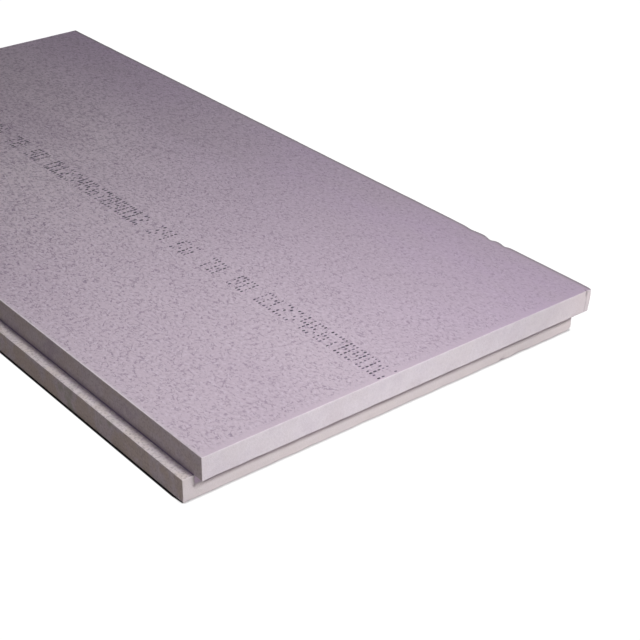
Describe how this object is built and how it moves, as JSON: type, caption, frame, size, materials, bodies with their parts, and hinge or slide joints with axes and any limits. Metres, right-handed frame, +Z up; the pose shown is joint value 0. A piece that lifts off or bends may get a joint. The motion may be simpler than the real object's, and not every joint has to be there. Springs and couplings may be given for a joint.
{
  "type": "xps insulation board",
  "caption": "Flat rigid foam insulation board with a foamed skin on both faces and a half-lap shiplap rebate along every side.",
  "frame": {"origin": "middle of the overall outline, laps included, at the underside of the lower skin", "axes": "+X across the board, +Y along the board, +Z up through the thickness; the upper half laps out at -Y and +X, the lower half at +Y and -X"},
  "size_m": [0.6, 1.25, 0.06],
  "materials": {
    "foam": "matte mauve extruded foam, skinned faces and milled edges",
    "print_ink": "nearly black dot-printed ink line on the upper skin"
  },
  "bodies": {
    "root": {"insulation_board": "foam"}
  },
  "joints": []
}
